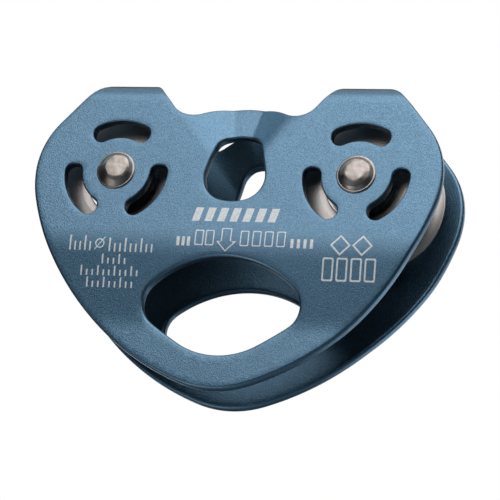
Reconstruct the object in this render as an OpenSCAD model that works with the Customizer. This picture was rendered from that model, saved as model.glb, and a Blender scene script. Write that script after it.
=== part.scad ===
// Tandem rope pulley: one folded plate, two ball-bearing sheaves side by side on riveted axles.
// Frame: origin midway between the axles, X from the left axle to the right, Y along the axles
// with the front cheek at -Y, Z up. Millimetres.

/* [Folded frame] */
// Distance from the origin to each axle
axle_x = 32; // [30:0.5:34]
// Width over the two cheeks beside the sheaves
frame_depth = 29; // [28:0.5:32]
// Thickness of the plate
plate_t = 3; // [2.5:0.5:3]
// Height of the bridges' top above the axles
bridge_top = 25.5; // [25:0.5:27]
// Outer radius of the bends over the sheaves
fold_r = 5.4; // [4.5:0.1:6]
// How far each cheek's lower half is set in
lower_inset = 4.1; // [3:0.1:4.5]
// Height where the inward slope starts, below the axles
slope_start = 19.4; // [18:0.1:20]
// Height where the inward slope ends, below the axles
slope_end = 39.5; // [38:0.1:42]
// How far the top edge between the bridges is pressed inward
pinch_depth = 5; // [3:0.1:5.5]

/* [Openings] */
// Centreline radius of the curved slots
slot_r = 11.6; // [11:0.1:12]
// Width of the curved slots
slot_w = 4.7; // [4:0.1:5]
// Angle from a slot's middle to the centre of its round end
slot_half_angle = 27.7; // [20:0.1:30]
// Bottom of the upper eye, below the axles
upper_eye_bottom = 7.7; // [7:0.1:8]
// Bottom of the lower eye, below the axles
lower_eye_bottom = 47.6; // [47:0.1:48]

/* [Sheaves] */
// Outer radius of the flanges
sheave_r = 18.5; // [17:0.1:19]
// Width over the flanges at the rim
rim_w = 13.8; // [13.4:0.1:14]
// Width over the hub bosses
hub_w = 15; // [14.6:0.1:15]
// Radius of the rope groove
groove_r = 6.4; // [5.5:0.1:6.4]
// Distance from the axle to the groove's centre
groove_centre_r = 18.9; // [18.5:0.1:19.2]
// Radius of the hub boss
boss_r = 12.8; // [12:0.1:13.5]

/* [Bearings and axles] */
// Axle diameter
axle_d = 8; // [8:1:8]
// Bearing outside diameter
bearing_od = 19; // [19:1:19]
// Bearing width
bearing_w = 6; // [6:1:6]
// Ball diameter
ball_d = 3.175; // [3:0.025:3.2]
// Number of balls in each bearing
ball_count = 8; // [7:1:9]
// Radius of the rivet head
head_r = 5.15; // [5:0.05:5.5]
// Height of the rivet head
head_h = 2.2; // [1.8:0.1:2.6]
// Radius of the spacer sleeves
spacer_r = 5.6; // [5.2:0.1:5.7]

/* [Hidden] */
SIDES = ["left", "right"];
FACES = ["front", "back"];
BEARING_PIECES = ["outer_race", "inner_race", "ball_set", "ball_cage", "outer_seal", "inner_seal"];

$fn = 96;
point_turn = 6;                // how far an outline's arc turns from one point to the next
face_y = frame_depth / 2;      // outer face of a cheek, beside the sheave
slope_h = slope_end - slope_start;
slope_angle = atan(lower_inset / slope_h);
soft_bend_r = 8;               // middle radius of the two soft bends in a cheek
slot_count = 3;                // curved slots around each axle
bearing_y = hub_w / 2 - bearing_w / 2;
separator_w = hub_w - 2 * bearing_w;
separator_r = 5.4;             // tube between the two inner races
pitch_r = (bearing_od + axle_d) / 4;
ball_r = ball_d / 2;
race_groove_r = ball_r + 0.06;
shoulder_gap = 1;              // from the pitch circle to each race's shoulder
seal_seat = 0.7;               // depth of the seal's seat in the outer race
seal_t = 0.35;
seal_r = 8.45;
seal_gap = 0.2;                // between a seal's lip and the inner race
shoulder_h = 1.2;              // lip inside the sheave that parts its two bearings
cage_t = 0.8;
cage_w = 4.2;
pocket_r = ball_r + 0.06;
head_flange_t = 0.5;
head_dome_r = 4.3;
head_chamfer = 0.3;

BLUE = [0.30, 0.44, 0.56];
STEEL = [0.72, 0.70, 0.67];
WARM_GREY = [0.62, 0.60, 0.56];
DARK_SEAL = [0.16, 0.16, 0.17];
BRASS = [0.72, 0.58, 0.30];

// ---- outline helpers ----

function side_sign(side) = side == "left" ? -1 : 1;
function face_sign(face) = face == "front" ? -1 : 1;

// One step along a path: [radius, turn] bends, turn > 0 to the left; [length, 0] runs straight.
function step_end(p, h, s) = s[1] == 0
    ? p + s[0] * [cos(h), sin(h)]
    : arc_point(p, h, s, s[1]);
function arc_point(p, h, s, a) = p + s[0] * sign(s[1]) * [sin(h + a) - sin(h), cos(h) - cos(h + a)];
function step_points(p, h, s) = s[1] == 0
    ? [step_end(p, h, s)]
    : let (n = ceil(abs(s[1]) / point_turn))
      [for (k = [1:n]) arc_point(p, h, s, s[1] * k / n)];

// Points of a path of straight and bent steps that starts at p with heading h.
function path(p, h, steps, i = 0) = i == len(steps)
    ? [p]
    : concat([p], drop_last(step_points(p, h, steps[i])),
             path(step_end(p, h, steps[i]), h + steps[i][1], steps, i + 1));
function drop_last(v) = [for (i = [0:1:len(v) - 2]) v[i]];

// Right half of a closed shape: from the bottom centre through the steps, then one last arc that
// arrives square to the axis at the top.
function half_ring(bottom, steps) =
    let (rest = 180 - turn_of(steps), end = path_end([0, bottom], 0, steps))
    path([0, bottom], 0, concat(steps, [[end[0] / sin(rest), rest]]));
function turn_of(steps, i = 0) = i == len(steps) ? 0 : steps[i][1] + turn_of(steps, i + 1);
function path_end(p, h, steps, i = 0) = i == len(steps)
    ? p
    : path_end(step_end(p, h, steps[i]), h + steps[i][1], steps, i + 1);

// The same steps, moved d to the left: a bend's radius changes, a straight run doesn't.
function moved(steps, d) = [for (s = steps) s[1] == 0 ? s : [s[0] - d * sign(s[1]), s[1]]];
function left_of(p, h, d) = p + d * [-sin(h), cos(h)];

function mirrored_x(points) = [for (i = [len(points) - 1:-1:0]) [-points[i][0], points[i][1]]];
function off_axis(points) = [for (p = points) if (abs(p[0]) > 0.001) p];

// ---- folded frame ----

// Right half of the cheek's lower edge: bottom centre, side, shoulder.
lower_edge = path([0, -56.35], 0, [[26.3, 19.9], [71.3, 53.6], [27.8, 16.5], [21, 40], [6, 0]]);
// Right half of the top edge: hump between the bridges, dip, then the bridge with its corners.
top_edge = path([0, 19.5], 0,
    [[17.5, -28], [9.5, 80], [5.8, 0], [2.5, -52], [9.9, 0], [7.5, -50]]);
// Right half of each eye.
lower_eye = half_ring(-lower_eye_bottom, [[20.3, 31.4], [137, 3.7], [6.4, 102.1]]);
upper_eye = half_ring(-upper_eye_bottom, [[12.7, 15], [6.4, 88], [140, 3], [3.6, 52]]);

module half_and_mirror(points) {
    polygon(concat(points, off_axis(mirrored_x(points))));
}

module curved_slot() {
    rotate([0, 0, -slot_half_angle])
        rotate_extrude(angle = 2 * slot_half_angle)
            translate([slot_r - slot_w / 2, 0])
                square([slot_w, frame_depth]);
    for (a = [-1, 1])
        rotate([0, 0, a * slot_half_angle])
            translate([slot_r, 0, 0])
                cylinder(h = frame_depth, d = slot_w);
}

// Bores and slots around one axle, through both cheeks.
module axle_openings() {
    rotate([90, 0, 0])
        translate([0, 0, -frame_depth])
            cylinder(h = 2 * frame_depth, d = axle_d);
    for (i = [0:slot_count - 1], m = [0, 1])
        mirror([0, m, 0])
            rotate([90, 0, 0])
                rotate([0, 0, 90 + i * 360 / slot_count])
                    curved_slot();
}

module cheek_shape() {
    rotate([90, 0, 0])
        translate([0, 0, -frame_depth])
            linear_extrude(2 * frame_depth)
                difference() {
                    half_and_mirror(concat(lower_edge, [for (i = [len(top_edge) - 1:-1:0]) top_edge[i]]));
                    half_and_mirror(lower_eye);
                    half_and_mirror(upper_eye);
                }
}

// The bent strip that both cheeks and both bridges are cut from, as a section in Y and Z.
strip_bottom = -60;
strip_start = [-(face_y - lower_inset - plate_t / 2), strip_bottom];
bend_h = soft_bend_r * sin(slope_angle);
bend_in = soft_bend_r * (1 - cos(slope_angle));
slope_run = (lower_inset - 2 * bend_in) / sin(slope_angle);
slope_rise = slope_run * cos(slope_angle) + 2 * bend_h;
slope_middle = -(slope_start + slope_end) / 2;
lower_run = slope_middle - slope_rise / 2 - strip_bottom;
upper_run = bridge_top - fold_r - slope_middle - slope_rise / 2;
fold_steps = [
    [lower_run, 0], [soft_bend_r, slope_angle], [slope_run, 0], [soft_bend_r, -slope_angle],
    [upper_run, 0], [fold_r - plate_t / 2, -90], [face_y - fold_r, 0]
];

module folded_strip() {
    outer = path(left_of(strip_start, 90, plate_t / 2), 90, moved(fold_steps, plate_t / 2));
    inner = path(left_of(strip_start, 90, -plate_t / 2), 90, moved(fold_steps, -plate_t / 2));
    section = concat(outer, off_axis(mirrored_x(outer)), inner_loop(inner));
    translate([-2 * axle_x, 0, 0])
        rotate([90, 0, 90])
            linear_extrude(4 * axle_x)
                polygon(section);
}
function inner_loop(inner) = concat(
    [for (i = [0:1:len(inner) - 1]) [-inner[i][0], inner[i][1]]],
    [for (i = [len(inner) - 2:-1:0]) inner[i]]
);

// The space that the inward press empties on the outside of a cheek: a flat facet and two ramps.
// It is widest at the top edge and dies away beside the upper eye.
pinch_top = 19.5;              // where pinch_depth is measured
pinch_foot = -2;               // where the press dies away
facet_half_top = 3.85;
facet_half_foot = 1;
ramp_half_top = 12.5;
pinch_over = 4.5;              // how far the wedge runs past the top edge
function pinch_at(z) = (z - pinch_foot) / (pinch_top - pinch_foot);
function facet_half(z) = facet_half_foot + (facet_half_top - facet_half_foot) * pinch_at(z);
function ramp_half(z) = facet_half_foot + (ramp_half_top - facet_half_foot) * pinch_at(z);

module pinch_wedge() {
    out = 0.5;
    z_top = pinch_top + pinch_over;
    z_low = pinch_foot - out * (pinch_top - pinch_foot) / pinch_depth;
    spread = out * (ramp_half_top - facet_half_top) / pinch_depth;
    half_out = ramp_half(z_top) + spread;
    half_in = facet_half(z_top);
    half_low = facet_half(z_low);
    deep = pinch_depth * pinch_at(z_top);
    polyhedron(
        points = [
            [-half_out, -out, z_top], [half_out, -out, z_top], [half_in, deep, z_top],
            [-half_in, deep, z_top], [-half_low, -out, z_low], [half_low, -out, z_low]
        ],
        faces = [[3, 2, 1, 0], [0, 1, 5, 4], [2, 3, 4, 5], [1, 2, 5], [3, 0, 4]]
    );
}

module folded_frame() {
    color(BLUE)
        difference() {
            intersection() {
                union() {
                    folded_strip();
                    for (m = [0, 1])
                        mirror([0, m, 0])
                            translate([0, -face_y + plate_t, 0])
                                pinch_wedge();
                }
                cheek_shape();
            }
            for (m = [0, 1])
                mirror([0, m, 0])
                    translate([0, -face_y, 0])
                        pinch_wedge();
            for (side = SIDES)
                translate([side_sign(side) * axle_x, 0, 0])
                    axle_openings();
        }
}

// ---- turned pieces: every one is a section in radius and distance along the axle ----

module turned(x) {
    translate([x, 0, 0])
        rotate([-90, 0, 0])
            rotate_extrude()
                children();
}

module ring_section(r_in, r_out, low, high) {
    translate([r_in, low])
        square([r_out - r_in, high - low]);
}

// Section of one rivet head above the end of the shaft: a thin flange, then the dome.
head_section = [
    [axle_d / 2, 0], [head_r, 0], [head_r, head_flange_t * 0.6], [head_r - head_chamfer, head_flange_t],
    [head_dome_r, head_flange_t], [head_dome_r - 0.1, head_h * 0.55],
    [head_dome_r - 0.6, head_h * 0.82], [head_dome_r - 1.6, head_h], [0, head_h]
];

module axle_pin(side) {
    half_l = face_y;
    color(STEEL)
        turned(side_sign(side) * axle_x)
            polygon(concat(
                [for (p = head_section) [p[0], half_l + p[1]]],
                [for (i = [len(head_section) - 1:-1:0]) [head_section[i][0], -half_l - head_section[i][1]]]
            ));
}

module sheave(side) {
    web_in = bearing_od / 2;
    color(WARM_GREY)
        turned(side_sign(side) * axle_x)
            difference() {
                union() {
                    ring_section(web_in, sheave_r, -rim_w / 2, rim_w / 2);
                    ring_section(web_in, boss_r, -hub_w / 2, hub_w / 2);
                    ring_section(web_in - shoulder_h, web_in, -separator_w / 2, separator_w / 2);
                }
                translate([groove_centre_r, 0])
                    circle(r = groove_r);
            }
}

module bearing_separator(side) {
    color(STEEL)
        turned(side_sign(side) * axle_x)
            ring_section(axle_d / 2, separator_r, -separator_w / 2, separator_w / 2);
}

module spacer(side, face) {
    color(STEEL)
        turned(side_sign(side) * axle_x)
            mirror([0, face == "front" ? 1 : 0])
                ring_section(axle_d / 2, spacer_r, hub_w / 2, face_y - plate_t);
}

// A bearing piece is drawn about the middle of its own bearing.
module at_bearing(side, face) {
    translate([side_sign(side) * axle_x, face_sign(face) * bearing_y, 0])
        children();
}

module outer_race(side, face) {
    color(STEEL)
        at_bearing(side, face)
            turned(0)
                difference() {
                    ring_section(pitch_r + shoulder_gap, bearing_od / 2, -bearing_w / 2, bearing_w / 2);
                    translate([pitch_r, 0])
                        circle(r = race_groove_r);
                    for (m = [0, 1])
                        mirror([0, m])
                            ring_section(pitch_r, seal_r, bearing_w / 2 - seal_seat, bearing_w);
                }
}

module inner_race(side, face) {
    color(STEEL)
        at_bearing(side, face)
            turned(0)
                difference() {
                    ring_section(axle_d / 2, pitch_r - shoulder_gap, -bearing_w / 2, bearing_w / 2);
                    translate([pitch_r, 0])
                        circle(r = race_groove_r);
                }
}

module ball_set(side, face) {
    color(STEEL)
        at_bearing(side, face)
            for (i = [0:ball_count - 1])
                rotate([0, i * 360 / ball_count, 0])
                    translate([pitch_r, 0, 0])
                        sphere(r = ball_r);
}

module ball_cage(side, face) {
    color(BRASS)
        at_bearing(side, face)
            difference() {
                turned(0)
                    ring_section(pitch_r - cage_t / 2, pitch_r + cage_t / 2, -cage_w / 2, cage_w / 2);
                for (i = [0:ball_count - 1])
                    rotate([0, i * 360 / ball_count, 0])
                        rotate([0, 90, 0])
                            cylinder(r = pocket_r, h = bearing_od / 2);
            }
}

// The outer seal faces the cheek, the inner one faces the other bearing.
module seal(side, face, outward) {
    color(DARK_SEAL)
        at_bearing(side, face)
            turned(0)
                mirror([0, face_sign(face) * outward > 0 ? 0 : 1])
                    ring_section(pitch_r - shoulder_gap + seal_gap, seal_r,
                                 bearing_w / 2 - seal_seat, bearing_w / 2 - seal_seat + seal_t);
}

// ---- drawing ----

module bearing_piece(side, face, piece) {
    if (piece == "outer_race") outer_race(side, face);
    if (piece == "inner_race") inner_race(side, face);
    if (piece == "ball_set") ball_set(side, face);
    if (piece == "ball_cage") ball_cage(side, face);
    if (piece == "outer_seal") seal(side, face, 1);
    if (piece == "inner_seal") seal(side, face, -1);
}

folded_frame();
for (side = SIDES) {
    axle_pin(side);
    sheave(side);
    bearing_separator(side);
    for (face = FACES) {
        spacer(side, face);
        for (piece = BEARING_PIECES)
            bearing_piece(side, face, piece);
    }
}
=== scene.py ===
"""Looks of the tandem rope pulley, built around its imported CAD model.

X runs from the left axle to the right, Y along the axles with the front cheek at -Y, and Z up. A
piece's sizes are written in millimetres and turned into metres where its mesh is made.
"""

import math

import bmesh
import bpy
import numpy as np
from mathutils import Matrix, Vector, noise
from mathutils.geometry import delaunay_2d_cdt
from mathutils.kdtree import KDTree


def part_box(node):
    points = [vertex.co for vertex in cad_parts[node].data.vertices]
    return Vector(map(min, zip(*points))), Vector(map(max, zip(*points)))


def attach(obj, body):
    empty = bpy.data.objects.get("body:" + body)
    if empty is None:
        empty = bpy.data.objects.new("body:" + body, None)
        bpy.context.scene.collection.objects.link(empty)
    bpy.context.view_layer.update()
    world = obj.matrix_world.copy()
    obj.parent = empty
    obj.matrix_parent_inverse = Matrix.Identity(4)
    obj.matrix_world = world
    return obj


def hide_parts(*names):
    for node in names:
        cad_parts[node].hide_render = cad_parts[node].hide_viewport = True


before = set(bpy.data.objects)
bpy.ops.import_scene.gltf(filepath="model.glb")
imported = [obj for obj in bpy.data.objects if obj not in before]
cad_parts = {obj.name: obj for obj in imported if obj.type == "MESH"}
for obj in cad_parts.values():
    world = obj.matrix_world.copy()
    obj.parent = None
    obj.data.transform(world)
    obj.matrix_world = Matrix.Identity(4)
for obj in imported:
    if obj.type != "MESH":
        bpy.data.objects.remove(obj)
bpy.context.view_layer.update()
MM = 0.001
SIDES = {"left": -1, "right": 1}
TINY = 1e-6


# ---- sizes, from the frame where it holds them ----

def box_mm(node):
    """Lowest and highest corner of a CAD node."""
    low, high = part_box(node)
    return np.array(low) / MM, np.array(high) / MM


FRAME_LOW, FRAME_HIGH = box_mm("folded_frame")
FACE_Y = FRAME_HIGH[1]                     # outer face of a cheek beside the sheave
BRIDGE_TOP = FRAME_HIGH[2]
CHEEK_BOTTOM = FRAME_LOW[2]
AXLE_X = sum(corner[0] for corner in box_mm("right_axle")) / 2
AXLE_R = 4.0
PLATE = 3.0
FOLD_R = 5.4                               # outer radius of the bends over the sheaves
FOLD_Z = BRIDGE_TOP - FOLD_R
FOLD_RUN = FOLD_R * math.pi / 2
FOLD_END = FOLD_Z + FOLD_RUN
MIDDLE = FOLD_END + FACE_Y - FOLD_R        # where the blank crosses the plane y = 0


# ---- outlines: paths of [radius, turn] bends, left turns positive, and [length, 0] runs ----

def path(start, heading, steps, spacing=0.7):
    """Points along the steps, no further apart than spacing on a bend."""
    points, p, h = [np.array(start, float)], np.array(start, float), math.radians(heading)
    for size, turn in steps:
        if turn == 0:
            p = p + size * np.array([math.cos(h), math.sin(h)])
            points.append(p)
            continue
        angle, sign = math.radians(turn), math.copysign(1, turn)
        count = max(3, math.ceil(abs(angle) * size / spacing))
        for k in range(1, count + 1):
            a = h + angle * k / count
            sweep = np.array([math.sin(a) - math.sin(h), math.cos(h) - math.cos(a)])
            points.append(p + size * sign * sweep)
        p, h = points[-1], h + angle
    return np.array(points)


def half_ring(bottom, steps):
    """Right half of a closed outline: bottom centre, the steps, then an arc that ends square on
    the axis."""
    end = path((0, bottom), 0, steps)[-1]
    rest = 180 - sum(turn for _, turn in steps)
    return path((0, bottom), 0, steps + [(end[0] / math.sin(math.radians(rest)), rest)])


def evenly(points, spacing=0.8):
    """The same line with points added on its long straight runs."""
    filled = [points[0]]
    for a, b in zip(points[:-1], points[1:]):
        count = max(1, math.ceil(np.linalg.norm(b - a) / spacing))
        filled += [a + (b - a) * k / count for k in range(1, count + 1)]
    return np.array(filled)


def hermite(a, slope_a, b, slope_b):
    """A smooth line from a to b that starts and ends along the slopes, without its first point."""
    steps = 8
    t = np.linspace(0, 1, steps + 1)[1:, None]
    return ((2 * t**3 - 3 * t**2 + 1) * a + (t**3 - 2 * t**2 + t) * slope_a
            + (3 * t**2 - 2 * t**3) * b + (t**3 - t**2) * slope_b)


def mirror_x(points):
    """The same place on the other side of the middle."""
    return points * (-1, 1)


def to_back(points):
    """The same place on the back cheek of the unfolded blank."""
    return np.array([(x, 2 * MIDDLE - v) for x, v in points])


def unfolded(points):
    """Points seen from the front, as (x, height), laid on the unfolded blank as (x, v)."""
    rise = np.clip((points[:, 1] - FOLD_Z) / FOLD_R, 0, 1)
    v = np.where(points[:, 1] > FOLD_Z, FOLD_Z + FOLD_R * np.arcsin(rise), points[:, 1])
    return np.column_stack([points[:, 0], v])


LOWER_EDGE = path((0, CHEEK_BOTTOM), 0,
                  [(26.3, 19.9), (71.3, 53.6), (27.8, 16.5), (21, 40), (6, 0)])
# The top edge inside a bridge, in front and behind: hump between the bridges, dip, run up along the
# bridge and corner on to its top. Outside a bridge, it is the corner at the top's other end.
TOP_IN = path((0, 19.7), 0, [(23.74, -28), (6.36, 80), (7.51, 0), (2.5, -52)])
TOP_IN_BACK = path((0, 20.1), 0, [(27.6, -26.6), (5.5, 78.6), (7.42, 0), (2.5, -52)])
BRIDGE_FLAT = 9.9
TOP_OUT = path(TOP_IN[-1] + (BRIDGE_FLAT, 0), 0, [(7.5, -50)])
LOWER_EYE = half_ring(-47.6, [(20.3, 31.4), (137, 3.7), (6.4, 102.1)])
UPPER_EYE = half_ring(-7.7, [(12.7, 15), (6.4, 88), (140, 3), (4.2, 44)])
NECK_IN, NECK_OUT = 26.6, 35.3             # where the edges of a bridge run across it
NECK_START = FOLD_Z + FOLD_R * math.radians(54)     # where they leave the outlines above
NECK_V = FOLD_END + 1.8                    # where they run straight


def neck(points, x):
    """An outline up into the fold, then a smooth line that comes out straight across the bridge
    at x."""
    low = points[points[:, 1] < NECK_START]
    end, before = low[-1], low[-3]
    slope = (end - before) / np.linalg.norm(end - before) * (NECK_V - end[1])
    across = hermite(end, slope, np.array([x, NECK_V]), np.array([0, NECK_V - end[1]]))
    return evenly(np.vstack([low, across, [[x, MIDDLE]]]))


def round_trip(chain, back_chain=None):
    """A closed loop round both cheeks from the chain in one quarter of the blank, without repeats.
    The back cheek has the same chain unless it is given its own."""
    back = to_back(chain if back_chain is None else back_chain)[::-1][1:]
    right = np.vstack([chain, back])
    return np.vstack([right, mirror_x(right)[::-1][1:-1]])


def closed(half):
    """A whole closed outline from its right half."""
    return np.vstack([half, mirror_x(half)[::-1][1:-1]])


def slot_outline(x, middle):
    """A curved slot round the axle at x, its middle at that angle."""
    radius, width, spacing = 11.6, 4.7, 0.45
    half = 27.7                            # half the angle that the slot's middle line covers
    turn = 2 * half
    start_angle = math.radians(middle - half)
    outer = radius + width / 2
    start = (x + outer * math.cos(start_angle), outer * math.sin(start_angle))
    steps = [(outer, turn), (width / 2, 180), (radius - width / 2, -turn), (width / 2, 180)]
    return path(start, middle - half + 90, steps, spacing)[:-1]


def circle(x, radius, count=48):
    """A circle with its centre at (x, 0)."""
    a = np.arange(count) * 2 * math.pi / count
    return np.column_stack([x + radius * np.cos(a), radius * np.sin(a)])


def area(loop):
    """Area of a closed loop, negative where it runs clockwise."""
    x, y = loop[:, 0], loop[:, 1]
    return (x * np.roll(y, -1) - np.roll(x, -1) * y).sum() / 2


def turned_to(loop, sign):
    """The loop with its area's sign as asked: 1 anticlockwise, -1 clockwise."""
    return loop if area(loop) * sign > 0 else loop[::-1]


# ---- the plate: where a point of the unfolded blank goes, at a depth below the outer surface ----

# The lower half of a cheek slopes inward. A bend has a middle height, and its SOFT is how far it
# reaches above and below.
SLOPE_TAN = 4.1 / 20.1
SLOPE_TOP, SLOPE_TOP_SOFT = -19.4, 3.6
SLOPE_BOTTOM, SLOPE_BOTTOM_SOFT = -39.8, 2.2
SLOPE_LOST = 0.74                          # share of the slope that ends at its bottom

# The top edge between the bridges is pressed inward: a flat facet with a ramp on each side.
PINCH_TOP, PINCH_FOOT, PINCH_DEPTH = 19.4, -2.0, 4.9
PINCH_SIDE = 16                            # beyond this, the press doesn't reach into the fold
FACET_TOP, FACET_FOOT, RAMP_TOP = 4.1, 1.0, 12.6    # half widths of the facet and the whole press
CREASE_IN, CREASE_OUT = 0.45, 7.9          # half width of its bends, and what the outer two add
FACET_SPREAD, CREASE_SPREAD = 0.5, 0.55    # how much the facet and its bends widen per depth


def ramp(s, soft):
    """0 below -soft, s above soft, a smooth bend between."""
    return np.where(s > soft, s, np.where(s < -soft, 0, (s + soft) ** 2 / (4 * soft)))


def set_in(x, z, depth):
    """How far a layer of the cheek lies inside its flat place, in its slope and its press."""
    started, ended = ramp(SLOPE_TOP - z, SLOPE_TOP_SOFT), ramp(SLOPE_BOTTOM - z, SLOPE_BOTTOM_SOFT)
    slope = SLOPE_TAN * (started - SLOPE_LOST * ended)
    t = np.maximum(0, (z - PINCH_FOOT) / (PINCH_TOP - PINCH_FOOT))
    facet = FACET_FOOT + (FACET_TOP - FACET_FOOT + FACET_SPREAD * depth) * t
    outer = FACET_FOOT + (RAMP_TOP - FACET_FOOT) * t
    steep = PINCH_DEPTH / (RAMP_TOP - FACET_TOP - FACET_SPREAD * depth)
    crease_in = CREASE_IN + CREASE_SPREAD * depth
    crease_out = CREASE_IN + CREASE_OUT * np.minimum(1, t)
    press = steep * (ramp(outer - np.abs(x), crease_out) - ramp(facet - np.abs(x), crease_in))
    return slope + np.where(t > 0, np.maximum(0, press), 0)


def placed(blank, depth):
    """Blank points (x, v) at a depth below the outer surface, as points in millimetres."""
    x, v = blank[:, 0], blank[:, 1]
    back = v > MIDDLE
    v = np.where(back, 2 * MIDDLE - v, v)
    angle = np.clip((v - FOLD_Z) / FOLD_R, 0, math.pi / 2)
    y = -(FACE_Y - FOLD_R) - (FOLD_R - depth) * np.cos(angle) + np.maximum(0, v - FOLD_END)
    height, shaped = np.minimum(v, FOLD_Z), (v < FOLD_Z) | (np.abs(x) < PINCH_SIDE)
    y = y + np.where(shaped, set_in(x, height, depth), 0)
    z = height + (FOLD_R - depth) * np.sin(angle)
    return np.column_stack([x, np.where(back, -y, y), z])


def inset(loop, distance):
    """A closed loop moved to its left."""
    along = np.roll(loop, -1, 0) - np.roll(loop, 1, 0)
    left = np.column_stack([-along[:, 1], along[:, 0]]) / np.linalg.norm(along, axis=1)[:, None]
    return loop + left * distance


def inside(points, loops):
    """Which points lie in the metal, by counting crossings."""
    odd = np.zeros(len(points), bool)
    for loop in loops:
        a, b = loop, np.roll(loop, -1, 0)
        for (ax, ay), (bx, by) in zip(a, b):
            if ay == by:
                continue
            spans = (ay > points[:, 1]) != (by > points[:, 1])
            odd ^= spans & (points[:, 0] < (bx - ax) * (points[:, 1] - ay) / (by - ay) + ax)
    return odd


def grid(x_range, v_range, step):
    """Rows of points a step apart, every other row moved by half a step."""
    xs, vs = np.arange(*x_range, step), np.arange(*v_range, step)
    x, v = np.meshgrid(xs, vs)
    x = x + step / 2 * (np.arange(len(vs)) % 2)[:, None]
    return np.column_stack([x.ravel(), v.ravel()])


def filling(loops):
    """Points between the loops: an even grid, finer where the top edge is pressed in."""
    coarse, fine = 1.1, 0.55
    clear = 0.62                           # steps between a point and the nearest loop
    reach = 55
    press_side, press_low, press_high = 15.5, -2.5, 20.5
    wide = grid((-reach, reach), (CHEEK_BOTTOM, 2 * MIDDLE - CHEEK_BOTTOM), coarse)
    height = np.where(wide[:, 1] > MIDDLE, 2 * MIDDLE - wide[:, 1], wide[:, 1])
    in_press = (np.abs(wide[:, 0]) < press_side) & (height > press_low) & (height < press_high)
    small = grid((-press_side, press_side), (press_low, press_high), fine)
    parts = [(wide[~in_press], coarse), (small, fine), (to_back(small), fine)]
    tree = KDTree(sum(len(loop) for loop in loops))
    for i, p in enumerate(np.vstack(loops)):
        tree.insert((*p, 0), i)
    tree.balance()
    kept = []
    for points, step in parts:
        points = points[inside(points, loops)]
        kept += [p for p in points if tree.find((*p, 0))[2] > clear * step]
    return kept


def new_mesh(name, points, faces, look, body, sharp_angle=None, origin=(0, 0, 0), looks=None):
    """A closed mesh from points in millimetres about its origin, riding on a body. With looks, look
    is a list of materials and looks says which of them each face has."""
    mesh = bpy.data.meshes.new(name)
    mesh.from_pydata([tuple(p) for p in np.asarray(points) * MM], [], faces)
    mesh.validate()
    shape = bmesh.new()
    shape.from_mesh(mesh)
    bmesh.ops.recalc_face_normals(shape, faces=shape.faces)
    shape.to_mesh(mesh)
    shape.free()
    mesh.shade_smooth()
    if sharp_angle:
        mesh.set_sharp_from_angle(angle=math.radians(sharp_angle))
    for each in look if looks else [look]:
        mesh.materials.append(each)
    if looks:
        mesh.polygons.foreach_set("material_index", looks)
    piece = bpy.data.objects.new(name, mesh)
    piece.location = Vector(origin) * MM
    bpy.context.scene.collection.objects.link(piece)
    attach(piece, body)
    return piece


EDGE_STEPS = 4                             # faces round each edge, and the radii of the edges
EDGE_R = {"outside": 0.75, "top": 0.45, "lower_eye": 0.75, "upper_eye": 0.6,
          "axle": 0.15, "slot": 0.4}


def edge_levels(radius):
    """(inset, depth) rings that round both edges of the plate."""
    turn = [math.pi / 2 * k / EDGE_STEPS for k in range(EDGE_STEPS + 1)]
    outer = [(radius * (1 - math.sin(a)), radius * (1 - math.cos(a))) for a in turn]
    return outer + [(i, PLATE - d) for i, d in reversed(outer)]


def plate_loops():
    """Every edge of the blank with the radius that rounds it, metal always on the left."""
    outer_half = unfolded(evenly(np.vstack([LOWER_EDGE, TOP_OUT[::-1]])))
    loops = [(turned_to(round_trip(neck(outer_half, NECK_OUT)), 1), EDGE_R["outside"])]
    front, back = (neck(unfolded(evenly(edge)), NECK_IN) for edge in (TOP_IN, TOP_IN_BACK))
    loops.append((turned_to(round_trip(front, back), -1), EDGE_R["top"]))
    holes = [(closed(evenly(LOWER_EYE)), EDGE_R["lower_eye"]),
             (closed(evenly(UPPER_EYE)), EDGE_R["upper_eye"])]
    for x in (side * AXLE_X for side in SIDES.values()):
        holes.append((circle(x, AXLE_R), EDGE_R["axle"]))
        holes += [(slot_outline(x, middle), EDGE_R["slot"]) for middle in (90, 210, 330)]
    loops += [(turned_to(hole, -1), radius) for hole, radius in holes]
    loops += [(turned_to(to_back(hole), -1), radius) for hole, radius in holes]
    return loops


def flat_blank(rims):
    """Fills the flat blank between its rims: its points, its triangles, and the place among its
    points of every point of the rims in turn."""
    rim_edges, first = [], 0
    for rim in rims:
        rim_edges += [(first + i, first + (i + 1) % len(rim)) for i in range(len(rim))]
        first += len(rim)
    given = [Vector(p) for p in list(np.vstack(rims)) + filling(rims)]
    same_place = 1e-7
    found, _, triangles, origins, _, _ = delaunay_2d_cdt(given, rim_edges, [], 0, same_place)
    blank = np.array([tuple(p) for p in found])
    triangles = np.array(triangles)
    triangles = triangles[inside(blank[triangles].mean(1), rims)]
    corners = blank[triangles]
    ab, ac = corners[:, 1] - corners[:, 0], corners[:, 2] - corners[:, 0]
    flipped = ab[:, 0] * ac[:, 1] - ab[:, 1] * ac[:, 0] < 0
    triangles[flipped] = triangles[flipped][:, ::-1]
    return blank, triangles, {origin: i for i, sources in enumerate(origins) for origin in sources}


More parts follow.
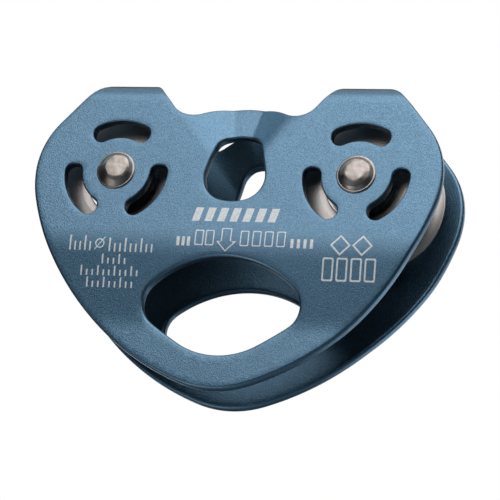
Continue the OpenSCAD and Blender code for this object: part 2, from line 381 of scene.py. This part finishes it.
def folded_plate(outside, painted_shade_look):
    """Both cheeks and both bridges in one closed mesh: an outer and an inner skin, joined round
    every edge. The inner skin and the walls of the holes have the second material: the blue
    darkened as painted shade."""
    loops = plate_loops()
    blank, triangles, index = flat_blank([inset(loop, radius) for loop, radius in loops])
    count = len(blank)
    points = [placed(blank, np.zeros(count)), placed(blank, np.full(count, PLATE))]
    faces = [tuple(t) for t in triangles] + [tuple(count + t[::-1]) for t in triangles]
    # The inner skin, and the walls of the holes past their outer rounding, take the blue darkened
    # as painted shade.
    looks = [0] * len(triangles) + [1] * len(triangles)
    total, first = 2 * count, 0
    for loop, radius in loops:
        n, is_hole = len(loop), area(loop) < 0
        rows = [[index[first + i] for i in range(n)]]
        for distance, depth in edge_levels(radius)[1:-1]:
            points.append(placed(inset(loop, distance), np.full(n, depth)))
            rows.append(list(range(total, total + n)))
            total += n
        rows.append([count + index[first + i] for i in range(n)])
        for k, (low, high) in enumerate(zip(rows[:-1], rows[1:])):
            faces += [(low[i], high[i], high[(i + 1) % n], low[(i + 1) % n]) for i in range(n)]
            looks += [int(is_hole and k >= EDGE_STEPS)] * n
        first += n
    plate = new_mesh("folded_plate", np.vstack(points), faces, [outside, painted_shade_look], "frame",
                     looks=looks)
    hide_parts("folded_frame")


# ---- turned pieces: lines of (radius, distance along the axle), turned about their own axle ----

SHARP_ANGLE = 35


def filleted(corners):
    """A line through corners (radius, y, fillet), each corner rounded by its fillet. The ends stay
    sharp, and so does a corner that hardly bends."""
    steps, hardly_bent = 4, math.radians(88)
    points = [np.array(corners[0][:2], float)]
    for before, (r, y, fillet), after in zip(corners[:-2], corners[1:-1], corners[2:]):
        here = np.array((r, y), float)
        a, b = np.array(before[:2]) - here, np.array(after[:2]) - here
        a, b = a / np.linalg.norm(a), b / np.linalg.norm(b)
        half = math.acos(max(-1.0, min(1.0, float(a @ b)))) / 2
        if fillet == 0 or half > hardly_bent:
            points.append(here)
            continue
        centre = here + (a + b) / np.linalg.norm(a + b) * fillet / math.sin(half)
        first, last = here + a * fillet / math.tan(half), here + b * fillet / math.tan(half)
        for k in range(steps + 1):
            between = first + (last - first) * k / steps - centre
            points.append(centre + between / np.linalg.norm(between) * fillet)
    return np.array(points + [np.array(corners[-1][:2], float)])


def lathe(name, side, line, look, body, segments, dents=0.0, lean=0.0):
    """Turns a line about the axle on that side. A line that ends on the axle closes there; any
    other is a ring. Dents make its heads uneven, and lean is how far a front head's top sits off
    the axle, right and up."""
    angles = np.arange(segments) * 2 * math.pi / segments
    points, rows = [], []
    for r, y in line:
        if r < TINY:
            rows.append([len(points)] * segments)
            points.append((0, y, 0))
            continue
        rows.append(list(range(len(points), len(points) + segments)))
        points += [(r * math.cos(a), y, r * math.sin(a)) for a in angles]
    if line[0][0] > TINY:
        rows.append(rows[0])
    faces = []
    for low, high in zip(rows[:-1], rows[1:]):
        for i in range(segments):
            j = (i + 1) % segments
            corners = (low[i], low[j], high[j], high[i])
            faces.append(tuple(dict.fromkeys(corners)))
    points = np.array(points)
    if dents:
        points[:, 1] += [dents * hammered(p, side) for p in points]
    if lean:
        flange, dome = 0.4, 1.5            # heights of a head's two parts
        share = np.clip((-points[:, 1] - FACE_Y - flange) / dome, 0, 1)
        points[:, (0, 2)] += lean * share[:, None]
    origin = (SIDES[side] * AXLE_X, 0, 0)
    return new_mesh(name, points, faces, look, body, SHARP_ANGLE, origin)


def hammered(p, side):
    """Shallow unevenness of a peened head, above its flange only and different on each side."""
    above, per_mm, apart = 0.6, 0.55, 7    # millimetres, dents per millimetre, noise between sides
    if abs(p[1]) < FACE_Y + above:
        return 0
    place = Vector((p[0] * per_mm + apart * SIDES[side], p[1], p[2] * per_mm))
    return noise.noise(place) * math.copysign(1, p[1])


# A sheave's radii and half widths, then its groove's radius and how far out the groove's centre is.
RIM_R, RIM_Y = 18.5, 6.95
BOSS_R, BORE_R, HUB_Y = 11.4, 9.5, 7.5
LIP_R, LIP_Y = 8.3, 1.5
GROOVE_R, GROOVE_X = 6.4, 18.9


def sheave(side, look):
    """The wheel, from the lip between its bearings out over the hub and rim to the rope groove."""
    steps, edge = 20, 0.08
    half = [(LIP_R, 0, 0), (LIP_R, LIP_Y, 0.2), (BORE_R, LIP_Y, 0.15), (BORE_R, HUB_Y, 0.25),
            (BOSS_R, HUB_Y, 3), (RIM_R, RIM_Y, 0.13)]
    open_at = math.acos((RIM_R - GROOVE_X) / GROOVE_R)
    groove = [open_at + (math.pi - open_at) * k / steps for k in range(steps + 1)]
    arc = [(GROOVE_X + GROOVE_R * math.cos(a), GROOVE_R * math.sin(a), 0) for a in groove]
    line = filleted(half + [(*arc[0][:2], edge)] + arc[1:])
    line = np.vstack([line, (line * (1, -1))[::-1][1:-1]])
    piece = lathe(f"{side}_turned_sheave", side, line, look, f"{side}_wheel", 160)
    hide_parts(f"{side}_sheave")


def axle(side, look):
    """The axle with a flange and a peened dome at each end; the left front one is flatter. A head's
    line is (radius, height above the cheek, fillet)."""
    dents, lean = 0.11, 0.45
    full = [(0, 2.1, 0), (2.4, 2.02, 3), (3.8, 1.45, 1.2), (4.45, 0.7, 0.5), (4.6, 0.42, 0.12),
            (4.8, 0.42, 0.2), (5.1, 0.3, 0.12), (5.15, 0, 0)]
    flat = [(0, 1.95, 0), (2.9, 1.9, 1.2), (3.6, 1.5, 0.6), (4.6, 0.5, 0.3), (4.75, 0.42, 0.12),
            (4.9, 0.4, 0.12), (5.1, 0.3, 0.12), (5.15, 0, 0)]
    front = filleted(flat if side == "left" else full)
    back = filleted(full)
    line = np.vstack([
        [(r, -FACE_Y - y) for r, y in front], [(AXLE_R, -FACE_Y), (AXLE_R, FACE_Y)],
        [(r, FACE_Y + y) for r, y in back[::-1]]
    ])
    piece = lathe(f"{side}_riveted_axle", side, line, look, "frame", 96, dents,
                  lean if side == "left" else 0)
    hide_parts(f"{side}_axle")


# ---- markings: plain bars, boxes, diamonds, a ring and an arrow, etched on the front face ----

MARK_OUT, MARK_IN = -0.02, 0.05            # depths of a mark's two sides
MARK_STEP = 0.5
MITRE = 1.35                               # how much further a corner moves in than a side


def strip(a, b, ring):
    """Points and faces of a thin solid between two lines on the blank, a ring or with two ends."""
    n = len(a)
    rows = [placed(line, np.full(n, depth)) for line, depth in
            ((a, MARK_OUT), (b, MARK_OUT), (b, MARK_IN), (a, MARK_IN))]
    faces = []
    for i in range(n if ring else n - 1):
        j = (i + 1) % n
        for k in range(4):
            row, following = k * n, (k + 1) % 4 * n
            faces.append((row + i, following + i, following + j, row + j))
    if not ring:
        faces += [tuple(k * n for k in range(4)), tuple(k * n + n - 1 for k in range(4))]
    return np.vstack(rows), faces


def bar(x, z, width, height, lean=0.0):
    """A filled bar from its lower left corner, its top moved to the right by lean."""
    rise = np.linspace(0, 1, max(2, math.ceil(height / MARK_STEP) + 1))[:, None]
    left = np.array([x, z]) + rise * (lean, height)
    return strip(left, left + (width, 0), False)


def outlined(corners, width):
    """A closed line of that width along the inside of the corners' outline."""
    loop = turned_to(evenly(np.array(corners + corners[:1], float), MARK_STEP)[:-1], 1)
    return strip(loop, mitred(loop, corners, width), True)


def mitred(loop, corners, width):
    """The loop moved in by width, its corners kept sharp."""
    centre = np.array(corners, float).mean(0)
    moved = inset(loop, width)
    for i, p in enumerate(loop):
        if min(np.linalg.norm(p - c) for c in np.array(corners, float)) < TINY:
            towards = (centre - p) / np.linalg.norm(centre - p)
            moved[i] = p + towards * width * MITRE
    return moved


def box_outline(x, z, width, height, corner=0.2):
    """Corners of a box with its own corners cut."""
    right, top = x + width, z + height
    return [(x + corner, z), (right - corner, z), (right, z + corner), (right, top - corner),
            (right - corner, top), (x + corner, top), (x, top - corner), (x, z + corner)]


def diamond(x, z, half):
    """Corners of a square on its point."""
    return [(x, z - half), (x + half, z), (x, z + half), (x - half, z)]


def ticks(x, z, count, pitch, height):
    """A row of thin bars, every third one tall."""
    width, short = 0.42, 0.6
    heights = [height if i % 3 == 0 else height * short for i in range(count)]
    return [bar(x + i * pitch, z, width, heights[i]) for i in range(count)]


def markings(look):
    """All the marks in one mesh, placed in millimetres from the middle and the axles' height."""
    thin, thick = 0.3, 0.44
    # middle: leaning bars, then an arrow between two rows of boxes with small bars at their ends
    marks = [bar(-9.6 + 3.35 * i, -13.5, 2.0, 3.7, 0.9) for i in range(7)]
    top, shoulder, tip = -15.3, -18.8, (0.2, -21.5)
    arrow = [(-1.15, top), (-1.15, shoulder), (-2.35, shoulder), tip,
             (3.0, shoulder), (1.55, shoulder), (1.55, top)]
    marks.append(outlined(arrow, thin))
    box_places = (-8.1, -5.3, 3.9, 7.1, 10.3, 13.5)
    marks += [outlined(box_outline(x, -20.0, 2.3, 4.1), thin) for x in box_places]
    marks += [bar(x, -20.2, 0.8, 2.4) for x in (-12.9, -11.5, -10.1, 17.2, 18.9, 20.6, 22.3)]
    # left: a row of ticks with a crossed ring in it, and three rows below
    marks += ticks(-41.6, -22.0, 5, 1.35, 3.9)
    ring = turned_to(circle(-33.4, 1.25, 32) + (0, -20.1), 1)
    marks.append(strip(ring, inset(ring, thin), True))
    marks.append(bar(-34.9, -21.8, 0.3, 3.4, 2.7))
    marks += ticks(-30.9, -22.2, 9, 1.42, 3.6)
    marks += ticks(-32.5, -25.3, 5, 1.5, 2.5)
    marks += ticks(-38.0, -28.3, 11, 1.5, 2.5)
    marks += ticks(-36.2, -31.3, 9, 1.5, 2.6)
    # right: two diamonds over four boxes
    marks += [outlined(diamond(x, -19.1, 2.7), thick) for x in (30.2, 35.9)]
    marks += [outlined(box_outline(25.9 + 3.65 * i, -28.2, 2.9, 5.9, 0.3), thick) for i in range(4)]
    points, faces, first = [], [], 0
    for mark_points, mark_faces in marks:
        points.append(mark_points)
        faces += [tuple(first + i for i in face) for face in mark_faces]
        first += len(mark_points)
    new_mesh("front_markings", np.vstack(points), faces, look, "frame", 30)


# ---- materials ----

NOISE_LOW, NOISE_HIGH = 0.3, 0.7           # most of a noise texture lies between these


def material(name, colour, metallic, roughness):
    """A new material with its nodes, its links and its shader."""
    made = bpy.data.materials.new(name)
    made.use_nodes = True
    shader = made.node_tree.nodes["Principled BSDF"]
    shader.inputs["Base Color"].default_value = (*colour, 1)
    shader.inputs["Metallic"].default_value = metallic
    shader.inputs["Roughness"].default_value = roughness
    return made, made.node_tree.nodes, made.node_tree.links, shader


def noise_texture(nodes, links, scale, detail):
    """Noise in the piece's own space; scale is in features per metre."""
    coordinates = nodes.new("ShaderNodeTexCoord")
    texture = nodes.new("ShaderNodeTexNoise")
    texture.inputs["Scale"].default_value = scale
    texture.inputs["Detail"].default_value = detail
    links.new(coordinates.outputs["Object"], texture.inputs["Vector"])
    return texture.outputs["Fac"]


def spread(nodes, links, value, low, high):
    """A value of noise, stretched to run from low to high."""
    mapped = nodes.new("ShaderNodeMapRange")
    mapped.inputs["From Min"].default_value = NOISE_LOW
    mapped.inputs["From Max"].default_value = NOISE_HIGH
    mapped.inputs["To Min"].default_value = low
    mapped.inputs["To Max"].default_value = high
    links.new(value, mapped.inputs["Value"])
    return mapped.outputs["Result"]


def mixed(nodes, links, factor, a, b):
    """A colour between a and b, each of them a colour or another node's output."""
    mix = nodes.new("ShaderNodeMix")
    mix.data_type = "RGBA"
    links.new(factor, mix.inputs["Factor"])
    for socket, value in (("A", a), ("B", b)):
        target = next(i for i in mix.inputs if i.name == socket and i.type == "RGBA")
        if isinstance(value, tuple):
            target.default_value = (*value, 1)
        else:
            links.new(value, target)
    return next(o for o in mix.outputs if o.type == "RGBA")


def bumped(nodes, links, shader, height, distance, strength=1.0):
    """Bump from a height of 0 to 1; distance is in metres."""
    bump = nodes.new("ShaderNodeBump")
    bump.inputs["Distance"].default_value = distance
    bump.inputs["Strength"].default_value = strength
    links.new(height, bump.inputs["Height"])
    links.new(bump.outputs["Normal"], shader.inputs["Normal"])


def anodised_blue(name, tone, coat):
    """Bead-blasted aluminium, dyed blue; tone scales how bright the dye is, and a tone below 1
    makes a copy darkened as painted shade.
    """
    blasted, cloudy, smeared = 3400, 90, 420
    dark, middle, light, base = (tuple(tone * c for c in colour) for colour in (
        (0.056, 0.134, 0.222), (0.120, 0.250, 0.362), (0.131, 0.270, 0.392), (0.07, 0.19, 0.33)))
    made, nodes, links, shader = material(name, base, 0.9, 0.36)
    shader.inputs["Coat Weight"].default_value = coat
    shader.inputs["Coat Roughness"].default_value = 0.3
    shader.inputs["Coat IOR"].default_value = 1.45
    grain = spread(nodes, links, noise_texture(nodes, links, blasted, 2.0), 0, 1)
    cloud = spread(nodes, links, noise_texture(nodes, links, cloudy, 4.0), 0, 1)
    soft = mixed(nodes, links, cloud, middle, light)
    links.new(mixed(nodes, links, grain, dark, soft), shader.inputs["Base Color"])
    rough = spread(nodes, links, noise_texture(nodes, links, smeared, 3.0), 0.32, 0.38)
    links.new(rough, shader.inputs["Roughness"])
    bumped(nodes, links, shader, noise_texture(nodes, links, blasted, 2.0), 0.00009, 0.9)
    return made


def metal(name, colour, roughness, grain_scale, bump_distance, shade=0.72):
    """Bare metal with a fine grain; shade is how bright its darker grains are."""
    made, nodes, links, shader = material(name, colour, 1.0, roughness)
    tone = spread(nodes, links, noise_texture(nodes, links, grain_scale, 4.0), 0, 1)
    darker = tuple(c * shade for c in colour)
    links.new(mixed(nodes, links, tone, darker, colour), shader.inputs["Base Color"])
    vary, patches = 0.3 * (1 - shade), noise_texture(nodes, links, grain_scale / 3, 3.0)
    rough = spread(nodes, links, patches, roughness - vary, roughness + vary)
    links.new(rough, shader.inputs["Roughness"])
    bumped(nodes, links, shader, noise_texture(nodes, links, grain_scale, 4.0), bump_distance)
    return made


def etched():
    """Pale, matt metal where the dye is etched away."""
    dull, bright = (0.62, 0.66, 0.69), (0.90, 0.92, 0.93)
    made, nodes, links, shader = material("etched_marking", (0.75, 0.78, 0.8), 0.25, 0.5)
    tone = spread(nodes, links, noise_texture(nodes, links, 2600, 2.0), 0, 1)
    links.new(mixed(nodes, links, tone, dull, bright), shader.inputs["Base Color"])
    return made


MATERIALS = {
    "marking": etched(),
    "plate": anodised_blue("anodised_blue", 1.0, 0.9),
    # The same blue at under half its brightness and with less coat: painted shade for the plate's
    # inner skin.
    "inside": anodised_blue("anodised_blue_painted_shade", 0.45, 0.2),
    "sheave": metal("turned_aluminium", (0.50, 0.465, 0.44), 0.37, 1500, 0.000004, 0.93),
    "rivet": metal("riveted_steel", (0.42, 0.375, 0.345), 0.33, 900, 0.00003),
    "spacer": metal("spacer_steel", (0.45, 0.44, 0.43), 0.35, 1200, 0.00002),
    "bearing": metal("bearing_steel", (0.62, 0.62, 0.62), 0.2, 800, 0.00001),
    "cage": metal("cage_brass", (0.62, 0.44, 0.18), 0.35, 900, 0.00002),
}
NODE_LOOKS = {"axle": "rivet", "sheave": "sheave", "race": "bearing", "ball_set": "bearing",
              "cage": "cage"}

for name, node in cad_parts.items():
    look = next((kind for word, kind in NODE_LOOKS.items() if word in name), "spacer")
    node.data.materials.clear()
    node.data.materials.append(MATERIALS[look])

folded_plate(MATERIALS["plate"], MATERIALS["inside"])
markings(MATERIALS["marking"])
for side in SIDES:
    sheave(side, MATERIALS["sheave"])
    axle(side, MATERIALS["rivet"])


# ---- camera, light and stage ----

CAMERA_AIM = (4.23, -6.24, -17.90)
CAMERA_AZIMUTH, CAMERA_ELEVATION, CAMERA_ROLL = 18.135, -20.065, 7.878
CAMERA_DISTANCE = 0.76346
PALE_BLUE = (0.7, 0.88, 1)
FLOOR_HALF, FLOOR_LEVEL = 9.0, -0.95


def direction(azimuth, elevation):
    """Unit vector from the object towards that side; azimuth 0 is the front, 90 the right."""
    a, e = math.radians(azimuth), math.radians(elevation)
    return Vector((math.sin(a) * math.cos(e), -math.cos(a) * math.cos(e), math.sin(e)))


def facing(place, target, roll=0.0):
    """Matrix of a camera or light at a place that looks at the target."""
    turn = (target - place).to_track_quat("-Z", "Y").to_matrix().to_4x4()
    return Matrix.Translation(place) @ turn @ Matrix.Rotation(math.radians(roll), 4, "Z")


def camera():
    """The camera, low and to the right of the front."""
    data = bpy.data.cameras.new("camera")
    data.lens, data.sensor_width = 216, 36
    data.clip_start, data.clip_end = 0.05, 50
    made = bpy.data.objects.new("camera", data)
    bpy.context.scene.collection.objects.link(made)
    aim = Vector(CAMERA_AIM) * MM
    place = aim + direction(CAMERA_AZIMUTH, CAMERA_ELEVATION) * CAMERA_DISTANCE
    made.matrix_world = facing(place, aim, CAMERA_ROLL)
    bpy.context.scene.camera = made


def softbox(name, azimuth, elevation, distance, width, height, radiance, colour=(1, 1, 1), roll=0):
    """A soft light that faces the object, in degrees and metres. Its size doesn't change how bright
    it looks."""
    data = bpy.data.lights.new(name, "AREA")
    data.shape, data.size, data.size_y = "RECTANGLE", width, height
    data.energy = radiance * math.pi * width * height
    data.color = colour
    made = bpy.data.objects.new(name, data)
    bpy.context.scene.collection.objects.link(made)
    made.matrix_world = facing(direction(azimuth, elevation) * distance, Vector((0, 0, 0)), roll)
    made.visible_camera = False


def lights():
    """A large key light in front, and weaker ones that give each turned-away surface its shade."""
    softbox("key_softbox", 12, 40, 0.55, 0.98, 0.6, 1.9, roll=20)
    softbox("left_softbox", -84, 40, 0.7, 0.4, 0.36, 0.8, (0.55, 0.85, 1))
    softbox("right_softbox", 84, 18, 0.8, 0.12, 0.5, 1.0, PALE_BLUE)
    softbox("right_back_softbox", 143, -15, 1.1, 0.95, 0.5, 0.9, PALE_BLUE)
    softbox("top_softbox", 10, 88, 0.7, 0.9, 0.8, 0.6)
    softbox("back_softbox", 185, 25, 1.2, 1.2, 0.5, 0.9, (0.8, 0.93, 1))
    softbox("low_back_softbox", 185, 5, 1.3, 1.6, 0.4, 0.8, PALE_BLUE)
    softbox("low_front_softbox", -24, -14, 0.9, 0.6, 0.3, 0.34, (0.75, 0.9, 1))
    softbox("low_left_softbox", -55, -52, 0.8, 0.6, 0.5, 1.0, (1, 0.92, 0.86))


def surroundings():
    """White to the camera, and a dim pale blue to everything else."""
    world = bpy.data.worlds.new("studio")
    bpy.context.scene.world = world
    world.use_nodes = True
    nodes, links = world.node_tree.nodes, world.node_tree.links
    plain = nodes["Background"]
    plain.inputs["Color"].default_value = (1, 1, 1, 1)
    plain.inputs["Strength"].default_value = 1.0
    dim = nodes.new("ShaderNodeBackground")
    dim.inputs["Color"].default_value = (0.9, 0.95, 1, 1)
    dim.inputs["Strength"].default_value = 0.03
    seen = nodes.new("ShaderNodeLightPath")
    mix = nodes.new("ShaderNodeMixShader")
    links.new(seen.outputs["Is Camera Ray"], mix.inputs["Fac"])
    links.new(dim.outputs["Background"], mix.inputs[1])
    links.new(plain.outputs["Background"], mix.inputs[2])
    links.new(mix.outputs["Shader"], nodes["World Output"].inputs["Surface"])


def floor():
    """A floor far below, which the camera sees as an even pale grey."""
    corners = [(-FLOOR_HALF, -FLOOR_HALF), (FLOOR_HALF, -FLOOR_HALF),
               (FLOOR_HALF, FLOOR_HALF), (-FLOOR_HALF, FLOOR_HALF)]
    mesh = bpy.data.meshes.new("floor")
    mesh.from_pydata([(x, y, FLOOR_LEVEL) for x, y in corners], [], [(0, 1, 2, 3)])
    pale, nodes, links, shader = material("pale_floor", (0.6, 0.75, 0.85), 0.0, 0.9)
    glow = nodes.new("ShaderNodeEmission")
    glow.inputs["Color"].default_value = (0.86, 0.86, 0.86, 1)
    seen = nodes.new("ShaderNodeLightPath")
    mix = nodes.new("ShaderNodeMixShader")
    links.new(seen.outputs["Is Camera Ray"], mix.inputs["Fac"])
    links.new(shader.outputs["BSDF"], mix.inputs[1])
    links.new(glow.outputs["Emission"], mix.inputs[2])
    links.new(mix.outputs["Shader"], nodes["Material Output"].inputs["Surface"])
    mesh.materials.append(pale)
    made = bpy.data.objects.new("floor", mesh)
    bpy.context.scene.collection.objects.link(made)


camera()
surroundings()
lights()
floor()
bpy.context.scene.view_settings.view_transform = "Standard"
